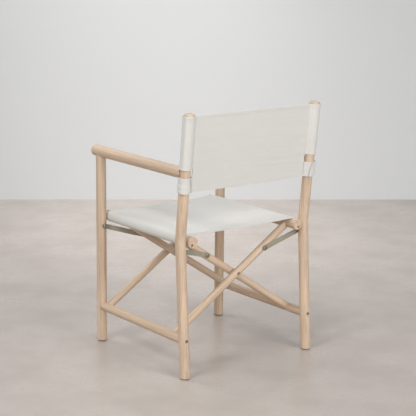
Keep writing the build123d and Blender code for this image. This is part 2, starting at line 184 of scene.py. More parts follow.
class NodeBook:
    """Short calls for building a node tree."""

    def __init__(self, tree):
        self.tree = tree

    def add(self, kind, **values):
        node = self.tree.nodes.new("ShaderNode" + kind)
        for name, value in values.items():
            setattr(node, name, value)
        return node

    def link(self, source, target):
        self.tree.links.new(source, target)

    def feed(self, socket, value):
        if isinstance(value, bpy.types.NodeSocket):
            self.link(value, socket)
        elif value is not None:
            socket.default_value = value

    def maths(self, operation, a, b=None, c=None):
        node = self.add("Math", operation=operation)
        for socket, value in zip(node.inputs, (a, b, c)):
            self.feed(socket, value)
        return node.outputs[0]

    def vector(self, operation, a, b=None, scale=None):
        node = self.add("VectorMath", operation=operation)
        self.feed(node.inputs[0], a)
        self.feed(node.inputs[1], b)
        if scale is not None:
            self.feed(node.inputs["Scale"], scale)
        return node.outputs["Value" if operation in ("LENGTH", "DOT_PRODUCT") else "Vector"]

    def mix(self, factor, a, b):
        node = self.add("Mix", data_type="RGBA")
        self.feed(node.inputs[0], factor)
        self.feed(node.inputs[6], a)
        self.feed(node.inputs[7], b)
        return node.outputs[2]

    def ramp(self, value, low, high, out_low=0.0, out_high=1.0):
        node = self.add("MapRange", interpolation_type="SMOOTHSTEP")
        for socket, x in zip(node.inputs, (value, low, high, out_low, out_high)):
            self.feed(socket, x)
        return node.outputs[0]

    def clouds(self, place, scale, detail=3.0, rough=0.5):
        node = self.add("TexNoise")
        self.feed(node.inputs["Vector"], place)
        node.inputs["Scale"].default_value = scale
        node.inputs["Detail"].default_value = detail
        node.inputs["Roughness"].default_value = rough
        return node.outputs["Fac"]

    def bump(self, height, distance, strength):
        node = self.add("Bump")
        node.inputs["Distance"].default_value = distance
        node.inputs["Strength"].default_value = strength
        self.feed(node.inputs["Height"], height)
        return node.outputs["Normal"]


def new_group(name, inputs, outputs):
    """Node group with named sockets: the group, its book, what it is given and what it puts out."""
    tree = bpy.data.node_groups.new(name, "ShaderNodeTree")
    for socket, kind, value in inputs:
        made = tree.interface.new_socket(socket, in_out="INPUT", socket_type="NodeSocket" + kind)
        if value is not None:
            made.default_value = value
    for socket, kind in outputs:
        tree.interface.new_socket(socket, in_out="OUTPUT", socket_type="NodeSocket" + kind)
    book = NodeBook(tree)
    start = tree.nodes.new("NodeGroupInput")
    end = tree.nodes.new("NodeGroupOutput")
    return tree, book, start.outputs, end.inputs


def rgba(colour):
    return (*colour, 1.0)


def grain_group():
    """Growth rings, streaks, flecks and pores of wood. Z runs along the grain from the pith."""
    tree, b, given, out = new_group(
        "Wood grain",
        [("Place", "Vector", None), ("Ring Spacing", "Float", 0.003), ("Early Wood", "Color", None),
         ("Late Wood", "Color", None)],
        [("Color", "Color"), ("Height", "Float"), ("Roughness", "Float")],
    )
    place = given["Place"]
    drift = b.vector("MULTIPLY", place, (14.0, 14.0, 2.2))
    warp = b.maths("MULTIPLY", b.maths("SUBTRACT", b.clouds(drift, 1.0, 2.0), 0.5), 0.020)
    flat = b.vector("LENGTH", b.vector("MULTIPLY", place, (1.0, 1.0, 0.0)))
    years = b.maths("DIVIDE", b.maths("ADD", flat, warp), given["Ring Spacing"])
    ring = b.maths("POWER", b.maths("FRACT", years), 2.2)
    ring = b.maths("MULTIPLY", ring, b.ramp(b.maths("FRACT", years), 0.93, 1.0, 1.0, 0.0))
    streak = b.clouds(b.vector("MULTIPLY", place, (300.0, 300.0, 6.0)), 1.0, 3.0)
    board = b.clouds(b.vector("MULTIPLY", place, (60.0, 60.0, 3.0)), 1.0, 2.0)
    cells = b.add("TexVoronoi")
    b.feed(cells.inputs["Vector"], b.vector("MULTIPLY", place, (640.0, 640.0, 95.0)))
    cells.inputs["Scale"].default_value = 1.0
    fleck = b.ramp(cells.outputs["Distance"], 0.10, 0.22, 1.0, 0.0)
    pores = b.clouds(b.vector("MULTIPLY", place, (2600.0, 2600.0, 60.0)), 1.0, 2.0)
    share = b.maths("MULTIPLY_ADD", ring, 0.46, b.ramp(streak, 0.42, 0.66, 0.0, 0.52))
    share = b.maths("MULTIPLY_ADD", fleck, 0.30, share)
    base = b.mix(share, given["Early Wood"], given["Late Wood"])
    tint = b.ramp(board, 0.3, 0.7, 0.88, 1.08)
    b.link(b.vector("SCALE", base, None, tint), out["Color"])
    b.link(b.maths("MULTIPLY_ADD", pores, 0.7, b.maths("MULTIPLY", ring, -0.3)), out["Height"])
    b.link(b.ramp(streak, 0.3, 0.8, 0.50, 0.62), out["Roughness"])
    return tree


def weave_group():
    """Plain weave from a flat map in metres: U along the weft, V along the warp. The hollows between the
    yarns get painted shade.
    """
    tree, b, given, out = new_group(
        "Plain weave",
        [("Place", "Vector", None), ("Yarn Pitch", "Float", 0.0009), ("Yarn", "Color", None),
         ("Between", "Color", None)],
        [("Color", "Color"), ("Height", "Float")],
    )
    place = given["Place"]
    wander = b.clouds(b.vector("MULTIPLY", place, (30.0, 260.0, 1.0)), 1.0, 2.0)
    sway = b.add("CombineXYZ")
    b.link(b.maths("MULTIPLY", b.maths("SUBTRACT", wander, 0.5), 0.0008), sway.inputs[0])
    b.link(b.maths("MULTIPLY", b.maths("SUBTRACT", wander, 0.5), 0.0006), sway.inputs[1])
    moved = b.vector("ADD", place, sway.outputs[0])
    turn = b.maths("DIVIDE", pi, given["Yarn Pitch"])
    parts = b.add("SeparateXYZ")
    b.link(b.vector("SCALE", moved, None, turn), parts.inputs[0])
    across = b.maths("SINE", parts.outputs[0])
    along = b.maths("SINE", parts.outputs[1])
    over = b.maths("MULTIPLY_ADD", b.maths("MULTIPLY", across, along), 0.5, 0.5)
    under = b.maths("SUBTRACT", 1.0, over)
    warp = b.maths("MULTIPLY", b.maths("ABSOLUTE", across), over)
    weft = b.maths("MULTIPLY", b.maths("ABSOLUTE", along), under)
    cloth = b.maths("MAXIMUM", warp, weft)
    slub = b.clouds(b.vector("MULTIPLY", place, (22.0, 620.0, 1.0)), 1.0, 3.0, 0.6)
    slub_up = b.clouds(b.vector("MULTIPLY", place, (700.0, 26.0, 1.0)), 1.0, 2.0, 0.6)
    patch = b.clouds(b.vector("MULTIPLY", place, (9.0, 45.0, 1.0)), 1.0, 3.0, 0.55)
    tone = b.maths("MULTIPLY_ADD", b.ramp(slub, 0.35, 0.68), 0.10, 0.0)
    tone = b.maths("MULTIPLY_ADD", b.ramp(slub_up, 0.4, 0.7), 0.07, tone)
    tone = b.maths("MULTIPLY_ADD", b.ramp(patch, 0.3, 0.7), 0.05, tone)
    # Painted shade: the hollows between the yarns are mixed towards the Between colour; the slub and patch
    # tone above is the yarn's own colour.
    shade = b.maths("SUBTRACT", b.maths("ADD", tone, 0.28), b.maths("MULTIPLY", cloth, 0.30))
    b.link(b.mix(b.maths("MAXIMUM", shade, 0.0), given["Yarn"], given["Between"]), out["Color"])
    b.link(b.maths("MULTIPLY_ADD", slub, 0.5, cloth), out["Height"])
    return tree


def wear_group():
    """Mask of the rounded edges where handling rubs a finish."""
    tree, b, given, out = new_group(
        "Edge wear",
        [("Place", "Vector", None), ("Radius", "Float", 0.001), ("Amount", "Float", 0.5)],
        [("Mask", "Float")],
    )
    soft = b.add("Bevel", samples=4)
    b.link(given["Radius"], soft.inputs["Radius"])
    true = b.add("NewGeometry")
    facing = b.vector("DOT_PRODUCT", soft.outputs[0], true.outputs["Normal"])
    edge = b.ramp(facing, 0.90, 0.998, 1.0, 0.0)
    rub = b.ramp(b.clouds(given["Place"], 160.0, 3.0), 0.35, 0.65)
    b.link(b.maths("MULTIPLY", b.maths("MULTIPLY", edge, rub), given["Amount"]), out["Mask"])
    return tree


def speckle_group():
    """Fine speckle and broad clouds for paint, plastic, metal, concrete and plaster."""
    tree, b, given, out = new_group(
        "Speckle",
        [("Place", "Vector", None), ("Fine", "Float", 800.0), ("Broad", "Float", 20.0),
         ("Light", "Color", None), ("Dark", "Color", None)],
        [("Color", "Color"), ("Height", "Float"), ("Mask", "Float")],
    )
    fine = b.clouds(b.vector("SCALE", given["Place"], None, given["Fine"]), 1.0, 2.0)
    broad = b.clouds(b.vector("SCALE", given["Place"], None, given["Broad"]), 1.0, 5.0, 0.6)
    share = b.maths("MULTIPLY_ADD", b.ramp(fine, 0.3, 0.7), 0.35, b.ramp(broad, 0.3, 0.7, 0.0, 0.65))
    b.link(b.mix(share, given["Light"], given["Dark"]), out["Color"])
    b.link(fine, out["Height"])
    b.link(share, out["Mask"])
    return tree


GROUP_MAKERS = {
    "Wood grain": grain_group,
    "Plain weave": weave_group,
    "Edge wear": wear_group,
    "Speckle": speckle_group,
}


def placed_group(book, name, **values):
    """A shared group placed in a material with its own values; made the first time it is needed."""
    tree = bpy.data.node_groups.get(name) or GROUP_MAKERS[name]()
    node = book.add("Group")
    node.node_tree = tree
    for socket, value in values.items():
        book.feed(node.inputs[socket.replace("_", " ")], value)
    return node.outputs


# ---------------------------------------------------------------- materials


def new_material(name, **constants):
    """Material with a Principled shader whose plain numbers are set on its own sockets."""
    material = bpy.data.materials.new(name)
    material.use_nodes = True
    shader = material.node_tree.nodes["Principled BSDF"]
    for socket, value in constants.items():
        shader.inputs[socket.replace("_", " ")].default_value = value
    return material, NodeBook(material.node_tree), shader.inputs


def finish_settings():
    return bpy.context.scene.chair_finish


def canvas_settings():
    return bpy.context.scene.chair_canvas


def stage_settings():
    return bpy.context.scene.chair_stage


def wood_material(name, middle, grain, pith):
    """Oiled wood whose grain runs along the grain vector, with the pith that far from the middle."""
    s = finish_settings()
    material, b, shader = new_material(name, Coat_Weight=0.06, Coat_Roughness=0.35, Specular_IOR_Level=0.4)
    place = b.add("TexCoord").outputs["Object"]
    local = b.add("Mapping", vector_type="POINT")
    turn = Vector(grain).to_track_quat("Z", "Y").inverted()
    local.inputs["Rotation"].default_value = turn.to_euler()
    b.link(place, local.inputs["Vector"])
    local.inputs["Location"].default_value = -(turn @ Vector(middle)) + Vector(pith)
    grains = placed_group(
        b, "Wood grain", Place=local.outputs[0], Ring_Spacing=s.ring_spacing,
        Early_Wood=rgba(s.early_wood), Late_Wood=rgba(s.late_wood),
    )
    wear = placed_group(b, "Edge wear", Place=place, Radius=0.0012, Amount=0.35)
    worn = b.mix(wear["Mask"], grains["Color"], rgba(Vector(s.late_wood) * 0.82))
    b.link(worn, shader["Base Color"])
    b.link(grains["Roughness"], shader["Roughness"])
    b.link(b.bump(grains["Height"], 0.0004, 0.35), shader["Normal"])
    return material


def canvas_material():
    """Natural cotton canvas, read from the flat map named Weave."""
    found = bpy.data.materials.get("canvas_weave")
    if found:
        return found
    s = canvas_settings()
    material, b, shader = new_material(
        "canvas_weave", Roughness=0.9, Specular_IOR_Level=0.2, Sheen_Weight=0.18, Sheen_Roughness=0.6
    )
    place = b.add("UVMap", uv_map="Weave").outputs[0]
    weave = placed_group(
        # The Between colour is painted shade in the hollows between the yarns.
        b, "Plain weave", Place=place, Yarn_Pitch=s.yarn_pitch, Yarn=rgba(s.colour), Between=rgba(s.shade)
    )
    b.link(weave["Color"], shader["Base Color"])
    b.link(b.bump(weave["Height"], 0.0003, 0.5), shader["Normal"])
    return material


def thread_material():
    found = bpy.data.materials.get("sewing_thread")
    if found:
        return found
    s = canvas_settings()
    material, b, shader = new_material("sewing_thread", Roughness=0.7, Sheen_Weight=0.2)
    place = b.add("TexCoord").outputs["Object"]
    twist = placed_group(
        b, "Speckle", Place=place, Fine=2600.0, Broad=90.0,
        Light=rgba(Vector(s.colour) * 0.98), Dark=rgba(Vector(s.shade) * 0.85),
    )
    b.link(twist["Color"], shader["Base Color"])
    b.link(b.bump(twist["Height"], 0.0001, 0.6), shader["Normal"])
    return material


def coated_material(name, colour, fine, wear_colour, wear_amount, metallic, roughness, bump=0.25):
    """Paint, plating, brass or plastic with speckle and worn edges."""
    material, b, shader = new_material(name)
    place = b.add("TexCoord").outputs["Object"]
    skin = placed_group(
        b, "Speckle", Place=place, Fine=fine, Broad=70.0,
        Light=rgba(Vector(colour) * 1.06), Dark=rgba(Vector(colour) * 0.86),
    )
    wear = placed_group(b, "Edge wear", Place=place, Radius=0.0009, Amount=wear_amount)
    b.link(b.mix(wear["Mask"], skin["Color"], rgba(wear_colour)), shader["Base Color"])
    shader["Metallic"].default_value = metallic
    b.link(b.ramp(skin["Mask"], 0.0, 1.0, roughness - 0.06, roughness + 0.08), shader["Roughness"])
    b.link(b.bump(skin["Height"], 0.00012, bump), shader["Normal"])
    return material


def dress(node, material):
    """Put a material on every slot of a CAD node."""
    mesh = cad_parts[node].data
    if not mesh.materials:
        mesh.materials.append(material)
    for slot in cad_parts[node].material_slots:
        slot.material = material


# ---------------------------------------------------------------- cloth meshes


# Distances from a hemmed edge at which the mesh has a row, and the stitch line's place in the hem.
HEM_STEPS = (0.0, 0.0006, 0.0016, 0.004, 0.0062, 0.0072, 0.0080, 0.0090, 0.0098, 0.0110)
STITCH_SHARE = 0.82


def steps(start, end, count):
    return [start + (end - start) * i / count for i in range(count + 1)]


def hemmed_rows(height, count):
    """Places of the mesh's rows as shares of the height, closer together in the two hems."""
    edge = [h / height for h in HEM_STEPS]
    return edge + steps(edge[-1], 1 - edge[-1], count)[1:-1] + [1 - h for h in reversed(edge)]


def section_lengths(section):
    """Distance along a section to each of its points."""
    lengths = [0.0]
    for a, b in zip(section, section[1:]):
        lengths.append(lengths[-1] + hypot(b[0] - a[0], b[1] - a[1]))
    return lengths


def smooth(x, low, high):
    t = min(1.0, max(0.0, (x - low) / (high - low)))
    return t * t * (3 - 2 * t)


def hem_profile(distance, settings):
    """Half thickness of the cloth this far from a hemmed edge, with the stitch line drawn in."""
    half = settings.thickness / 2
    inside = 1 - smooth(distance, settings.hem, settings.hem + 0.0012)
    rim = smooth(distance, -0.0002, 0.0012)
    pull = exp(-((distance - settings.hem * STITCH_SHARE) / 0.0011) ** 2)
    return half + settings.hem_extra * inside * (0.55 + 0.45 * rim) - 0.00035 * pull * inside


def add_object(name, data):
    made = bpy.data.objects.new(name, data)
    bpy.context.scene.collection.objects.link(made)
    return made


def cloth(name, surface, us, vs, half_thickness, flat_map):
    """Closed shell of cloth about the middle surface, with a flat map in metres named Weave."""
    points = [[Vector(surface(u, v)) for u in us] for v in vs]
    rows = len(vs)
    columns = len(us)
    mesh = bpy.data.meshes.new(name)
    bm = bmesh.new()
    uv = bm.loops.layers.uv.new("Weave")
    flat = {}
    layers = {}
    for way in (1, -1):
        for j in range(rows):
            for i in range(columns):
                along = points[j][min(i + 1, columns - 1)] - points[j][max(i - 1, 0)]
                up = points[min(j + 1, rows - 1)][i] - points[max(j - 1, 0)][i]
                normal = along.cross(up).normalized()
                place = points[j][i] + normal * (way * half_thickness(us[i], vs[j]))
                vertex = bm.verts.new(place)
                layers[way, j, i] = vertex
                flat[vertex] = flat_map(us[i], vs[j])

    def face(*corners):
        made = bm.faces.new(corners)
        made.smooth = True
        for loop in made.loops:
            loop[uv].uv = flat[loop.vert]

    for j in range(rows - 1):
        for i in range(columns - 1):
            face(layers[1, j, i], layers[1, j, i + 1], layers[1, j + 1, i + 1], layers[1, j + 1, i])
            face(layers[-1, j, i], layers[-1, j + 1, i], layers[-1, j + 1, i + 1], layers[-1, j, i + 1])
    for i in range(columns - 1):
        face(layers[-1, 0, i], layers[-1, 0, i + 1], layers[1, 0, i + 1], layers[1, 0, i])
        top = rows - 1
        face(layers[1, top, i], layers[1, top, i + 1], layers[-1, top, i + 1], layers[-1, top, i])
    for j in range(rows - 1):
        end = columns - 1
        face(layers[1, j, 0], layers[1, j + 1, 0], layers[-1, j + 1, 0], layers[-1, j, 0])
        face(layers[-1, j, end], layers[-1, j + 1, end], layers[1, j + 1, end], layers[1, j, end])
    bm.normal_update()
    bm.to_mesh(mesh)
    bm.free()
    mesh.set_sharp_from_angle(angle=radians(55))
    piece = add_object(name, mesh)
    mesh.materials.append(canvas_material())
    return piece


def sewn(name, lines):
    """Row of stitches along each line of (point, outward normal) pairs, as one mesh."""
    s = canvas_settings()
    bm = bmesh.new()
    for line in lines:
        travelled = 0.0
        due = s.stitch_pitch / 2
        for (a, normal_a), (b, _) in zip(line, line[1:]):
            gap = (b - a).length
            while gap > 0 and travelled + gap >= due:
                middle = a.lerp(b, (due - travelled) / gap)
                stitch(bm, middle, (b - a).normalized(), normal_a, s)
                due += s.stitch_pitch
            travelled += gap
    mesh = bpy.data.meshes.new(name)
    bm.to_mesh(mesh)
    bm.free()
    mesh.materials.append(thread_material())
    return add_object(name, mesh)


def stitch(bm, middle, along, normal, s):
    """One stitch: a short bowed thread whose ends go into the cloth."""
    side = along.cross(normal).normalized()
    sections = 5
    around = 6
    rings = []
    for k in range(sections):
        t = -1 + 2 * k / (sections - 1)
        radius = s.thread * (1 - 0.55 * t ** 4)
        lift = s.thread * (0.55 - 1.25 * t * t)
        centre = middle + along * (t * s.stitch_length / 2) + normal * lift
        rings.append([
            bm.verts.new(centre + side * (radius * cos(a)) + normal * (radius * sin(a)))
            for a in (2 * pi * n / around for n in range(around))
        ])
    for low, high in zip(rings, rings[1:]):
        for n in range(around):
            made = bm.faces.new((low[n], high[n], high[(n + 1) % around], low[(n + 1) % around]))
            made.smooth = True
    bm.faces.new(rings[0])
    bm.faces.new(rings[-1][::-1])


def wrinkle(u, v, seed):
    """Smooth noise from -1 to 1, the same on each run."""
    return noise.noise(Vector((u, v, seed)))


# ---------------------------------------------------------------- seat


# The rail's keyhole slot: how far its round end is from the rail's axis, how far that leans outboard,
# where the canvas goes in at the rail's face, and where it meets the rod.
KEYHOLE_REACH = 0.009
KEYHOLE_LEAN = radians(20)
SLOT_MOUTH = radians(-57)
ROD_ENTRY = 0.0024
CLOTH_GAP = 0.0003


def seat_path(settings):
    """Half of the seat's section from the middle out to the rod, as (x, z, outward x, outward z)."""
    radius = RAIL_R + CLOTH_GAP + settings.thickness / 2
    keyhole_x = RAIL_X + KEYHOLE_REACH * sin(KEYHOLE_LEAN)
    keyhole_z = RAIL_Z - KEYHOLE_REACH * cos(KEYHOLE_LEAN)
    path = []
    for t in steps(0.0, 1.0, 36)[:-1]:
        path.append((RAIL_X * t, RAIL_Z + radius, 0.0, 1.0))
    for angle in steps(pi / 2, SLOT_MOUTH, 30):
        path.append((RAIL_X + radius * cos(angle), RAIL_Z + radius * sin(angle), cos(angle), sin(angle)))
    last = path[-1]
    for t in (0.25, 0.5, 0.75, 1.0):
        x = last[0] + (keyhole_x - last[0]) * t
        z = last[1] + (keyhole_z + ROD_ENTRY - last[1]) * t
        path.append((x, z, cos(SLOT_MOUTH - pi / 2 * t), sin(SLOT_MOUTH - pi / 2 * t)))
    return path


def seat_surface():
    """The seat's middle surface and its normals, from u across and v front to rear."""
    s = canvas_settings()
    half = seat_path(s)
    section = [(-x, z, -nx, nz) for x, z, nx, nz in half[::-1][:-1]] + half
    lengths = section_lengths(section)
    middle = lengths[-1] / 2
    front = canvas_low.y
    depth = canvas_high.y - front

    def surface(u, v):
        x, z, out_x, out_z = section[u]
        spread = max(0.0, 1 - (abs(x) / RAIL_X) ** 2) if abs(lengths[u] - middle) < RAIL_X else 0.0
        edge = 0.62 + 0.38 * sin(pi * v)
        drop = s.seat_sag * spread * edge
        tight = min(v, 1 - v)
        # Low waves over the whole seat, and shorter ones that run in from its front and rear edges.
        pucker = 0.0009 * wrinkle(x * 9, v * 26, 3.0) * spread
        pucker += 0.0016 * wrinkle(x * 30, v * 9, 5.0) * spread * (1 - smooth(tight, 0.0, 0.25))
        # The free edges draw in towards the middle, and the cloth round the rails has fine ripples.
        bow = 0.0045 * spread * (1 if v < 0.5 else -1) * (1 - smooth(tight, 0.0, 0.30))
        ripple = 0.00035 * (1 + wrinkle(lengths[u] * 25, v * 34, 8.0)) * (1 - spread)
        y = front + depth * v + bow
        return Vector((x + out_x * ripple, y, z + out_z * ripple - drop + pucker))

    return surface, section, lengths


def make_seat():
    s = canvas_settings()
    surface, section, lengths = seat_surface()
    depth = canvas_high.y - canvas_low.y
    rows = hemmed_rows(depth, 64)
    columns = list(range(len(section)))
    in_slot = 5

    def half_thickness(u, v):
        return hem_profile(min(v, 1 - v) * depth, s)

    def flat_map(u, v):
        return (lengths[u], v * depth)

    seat = cloth("seat_cloth", surface, columns, rows, half_thickness, flat_map)
    seam = s.hem * STITCH_SHARE / depth
    lines = []
    for v in (seam, 1 - seam):
        for way in (1, -1):
            line = []
            for u in columns[in_slot:-in_slot]:
                _, _, out_x, out_z = section[u]
                normal = Vector((out_x, 0.0, out_z)) * way
                point = surface(u, v) + normal * hem_profile(seam * depth, s)
                line.append((point, normal))
            lines.append(line)
    stitching = sewn("seat_stitching", lines)
    for piece in (seat, stitching):
        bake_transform(piece)
    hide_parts("seat_canvas")


# ---------------------------------------------------------------- back


# The sleeves' seams from the post's axis, the heights of the cut-outs and of the cloth's edges, how far
# a cut-out bites into the panel, and the side stitching's place as a share of the panel's width.
SEAM_INBOARD = 0.0235
SEAM_BACK = 0.003
CUT_HIGH = 0.676
CUT_LOW = 0.651
BACK_TOP = 0.8445
BACK_BOTTOM = 0.602
BITE = 0.0026
PANEL_STITCH = 0.0075

# Distance between the mesh's rows in a sleeve.
ROW_GAP = 0.0024


def on_post(side, inboard, rear, height):
    """Point beside the raked part of a back post: inboard and rear of its axis, at a height on it."""
    along = (height - BEND_HEIGHT) / cos(RAKE)
    return Vector((
        side * (POST_X - inboard),
        BEND_Y + rear * cos(RAKE) + along * sin(RAKE),
        BEND_HEIGHT - rear * sin(RAKE) + along * cos(RAKE),
    ))


def notch(height):
    """How far the round-ended cut-out bites into the panel at a height."""
    half = (CUT_HIGH - CUT_LOW) / 2
    away = (height - (CUT_HIGH + CUT_LOW) / 2) / half
    return BITE * max(0.0, 1 - away * away) ** 0.5


def cut_rows(low, height):
    """Places of mesh rows across a cut-out, as shares of a height that starts at low."""
    return [(CUT_LOW - low + (CUT_HIGH - CUT_LOW) * t) / height for t in steps(0, 1, 14)]


def make_back_panel():
    s = canvas_settings()
    seam_x = POST_X - SEAM_INBOARD + 0.0004
    height = BACK_TOP - BACK_BOTTOM
    rows = sorted(set(round(v, 5) for v in hemmed_rows(height, 70) + cut_rows(BACK_BOTTOM, height)))
    ends = [0.0, 0.003, 0.007, 0.012, 0.018]
    columns = ends + steps(ends[-1], 1 - ends[-1], 72)[1:-1] + [1 - e for e in reversed(ends)]

    def surface(u, v):
        level = BACK_BOTTOM + height * v
        bite = notch(level)
        x = (-seam_x + bite) + (2 * seam_x - 2 * bite) * u
        middle = sin(pi * u)
        # Shallow folds across the panel, deeper beside the seams.
        near_seam = exp(-min(u, 1 - u) * 9)
        fold = 0.0010 * wrinkle(v * 9, u * 2.2, 1.0) * (0.25 + near_seam)
        fold += 0.0002 * wrinkle(v * 26, u * 4.0, 2.0)
        bow = s.back_bow * middle
        # The bottom edge hangs a little and the top edge rises a little towards the middle.
        droop = 0.0022 * middle * (1 - v) - 0.0016 * middle * v
        return on_post(1, POST_X - x, SEAM_BACK + bow + fold, level - droop)

    def half_thickness(u, v):
        return hem_profile(min(v, 1 - v) * height, s)

    def flat_map(u, v):
        return (2 * seam_x * u, height * v)

    panel = cloth("back_cloth", surface, columns, rows, half_thickness, flat_map)
    rear = Vector((0, cos(RAKE), -sin(RAKE)))
    seam = s.hem * STITCH_SHARE / height
    lines = []
    for v in (seam, 1 - seam):
        for way in (1, -1):
            half = hem_profile(seam * height, s)
            lines.append([(surface(u, v) + rear * (way * half), rear * way) for u in columns])
    for u in (PANEL_STITCH, 1 - PANEL_STITCH):
        for way in (1, -1):
            ranges = ((0.01, (CUT_LOW - 0.002 - BACK_BOTTOM) / height),
                      ((CUT_HIGH + 0.002 - BACK_BOTTOM) / height, 0.99))
            for low, high in ranges:
                lines.append([(surface(u, v) + rear * (way * s.thickness / 2), rear * way)
                              for v in steps(low, high, 60)])
    stitching = sewn("back_stitching", lines)
    for piece in (panel, stitching):
        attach(piece, "frame_left")
        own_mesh(piece)
    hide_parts("back_panel")


def sleeve_section(s):
    """Teardrop round the post from the seam, over the rear, outboard and front, and back to the seam.

    Points are (inboard, rear, outward normal inboard, outward normal rear)."""
    radius = POST_R + CLOTH_GAP + s.thickness / 2
    reach = hypot(SEAM_INBOARD, SEAM_BACK)
    seam_turn = atan2(SEAM_BACK, SEAM_INBOARD)
    lean = s.thickness / 2
    opening = pi / 2 - atan2(radius - lean, (reach * reach - (radius - lean) ** 2) ** 0.5)
    points = []
    for angle in steps(seam_turn + opening, seam_turn + 2 * pi - opening, 54):
        points.append((radius * cos(angle), radius * sin(angle), cos(angle), sin(angle)))
    straight = 10
    first = points[0]
    last = points[-1]
    tip_rear = (SEAM_INBOARD + lean * first[2], SEAM_BACK + lean * first[3])
    tip_front = (SEAM_INBOARD + lean * last[2], SEAM_BACK + lean * last[3])
    lead = [(tip_rear[0] + (first[0] - tip_rear[0]) * t, tip_rear[1] + (first[1] - tip_rear[1]) * t,
             first[2], first[3]) for t in steps(0, 1, straight)[:-1]]
    tail = [(last[0] + (tip_front[0] - last[0]) * t, last[1] + (tip_front[1] - last[1]) * t,
             last[2], last[3]) for t in steps(0, 1, straight)[1:]]
    return lead + points + tail


def ease(s, distance, total, level, height, crease, seed):
    """How far the loose cloth stands off the post, with its creases and its pressed side fold."""
    outward = sin(pi * min(1.0, max(0.0, distance / total)))
    ripple = wrinkle(distance * 14, level * 110, seed) + 0.6 * wrinkle(distance * 30, level * 300, seed + 4)
    flare = 0.0004 * exp(-min(level, height - level) / 0.006)
    fold = 0.0011 * exp(-((distance - s.side_fold * total) / 0.0035) ** 2)
    return max(0.0, outward * (s.looseness + crease * ripple + flare) + fold)


def make_sleeve(name, side, low, high, body, node, hem_top, crease, seed):
    """One closed sleeve of the back canvas round a post."""
    s = canvas_settings()
    section = sleeve_section(s)
    lengths = section_lengths(section)
    total = lengths[-1]
    height = high - low
    rows = hemmed_rows(height, ceil((height - 2 * HEM_STEPS[-1]) / ROW_GAP))
    columns = list(range(len(section)))

    def surface(u, v):
        inboard, rear, out_in, out_rear = section[u]
        away = ease(s, lengths[u], total, v * height, height, crease, seed)
        sag = 0.0012 * wrinkle(lengths[u] * 22, seed, 0.0) * (1 - abs(2 * v - 1))
        return on_post(side, inboard + out_in * away, rear + out_rear * away, low + height * v + sag)

    def half_thickness(u, v):
        distance = (1 - v) * height if hem_top else v * height
        return hem_profile(distance, s)

    def flat_map(u, v):
        return (lengths[u], v * height + low)

    def along(u, v):
        return surface(u if side > 0 else columns[-1] - u, v)

    piece = cloth(name, along, columns, rows, half_thickness, flat_map)
    seam = s.hem * STITCH_SHARE / height
    level = 1 - seam if hem_top else seam
    line = []
    for u in columns[2:-2]:
        _, _, out_in, out_rear = section[u]
        normal = Vector((-side * out_in, out_rear * cos(RAKE), -out_rear * sin(RAKE)))
        line.append((surface(u, level) + normal * hem_profile(seam * height, s), normal))
    stitching = sewn(name.replace("sleeve", "sleeve_stitching"), [line])
    for made in (piece, stitching):
        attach(made, body)
    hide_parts(node)


# Where round the post the slit starts at the sleeve's bottom, how far round it slants up to the top,
# and how deep the creases of the upper sleeve, the lower sleeve and its laps are.
SLIT_FOOT = radians(46)
SLIT_SLANT = radians(24)
UPPER_CREASE = 0.0003
LOWER_CREASE = 0.0010
LAP_CREASE = 0.0011


def part_way(section, lengths, distance):
    """Point and outward normal of a section, at a distance along it."""
    i = next((n for n, reached in enumerate(lengths) if reached > distance), len(lengths) - 1)
    share = (distance - lengths[i - 1]) / (lengths[i] - lengths[i - 1])
    return [a + (b - a) * share for a, b in zip(section[i - 1], section[i])]


def slit_place(section, lengths, v):
    """Distance from the seam to the slit: it slants outboard towards the top, in a curve."""
    past_seam = ((d, p) for d, p in zip(lengths, section) if d > 0.012)
    start = next(d for d, p in past_seam if atan2(p[1], p[0]) > SLIT_FOOT)
    return start + POST_R * SLIT_SLANT * v ** 1.7


def make_lap(kind, name, side, body, ends, columns, seed):
    """One lap of the lower sleeve's outer layer, whose free end stands off beside the slit."""
    s = canvas_settings()
    section = sleeve_section(s)
    lengths = section_lengths(section)
    total = lengths[-1]
    low = BACK_BOTTOM - 0.0004
    height = CUT_LOW - BACK_BOTTOM
    free_end = 1.0 if kind == "inboard" else 0.0

    def surface(u, v):
        start, end = ends(v)
        distance = start + (end - start) * u
        inboard, rear, out_in, out_rear = part_way(section, lengths, max(1e-6, distance))
        from_slit = abs(free_end - u) * (end - start)
        lift = s.thickness + 0.0005 + 0.0010 * (1 - smooth(from_slit, 0.0, 0.006))
        if kind == "inboard":
            lift += 0.0020 * (1 - v) ** 2 * (1 - smooth(from_slit, 0.0, 0.012))
        away = ease(s, distance, total, v * height, height, LAP_CREASE, seed) + lift
        return on_post(side, inboard + out_in * away, rear + out_rear * away, low + height * v)

    def along(u, v):
        return surface(u if side > 0 else 1 - u, v)

    def half_thickness(u, v):
        start, end = ends(v)
        u = u if side > 0 else 1 - u
        from_slit = abs(free_end - u) * (end - start)
        return s.thickness / 2 + 0.0003 * (1 - smooth(from_slit, 0.004, 0.0052))

    def flat_map(u, v):
        start, end = ends(v)
        return (start + (end - start) * u, v * height + low)

    piece = cloth("sleeve_lap_" + kind + "_" + name, along, steps(0.0, 1.0, columns),
                  steps(0.0, 1.0, 30), half_thickness, flat_map)
    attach(piece, body)
    start, end = ends(0.4)


def make_laps(name, side, body, seed):
    """Outer layer of the lower sleeve: two laps that leave a curved slit at the post's rear."""
    s = canvas_settings()
    section = sleeve_section(s)
    lengths = section_lengths(section)

    def inboard_ends(v):
        return (0.0, slit_place(section, lengths, v))

    def outboard_ends(v):
        return (slit_place(section, lengths, v) + s.slit, lengths[-1])

    make_lap("inboard", name, side, body, inboard_ends, 30, seed)
    make_lap("outboard", name, side, body, outboard_ends, 72, seed)


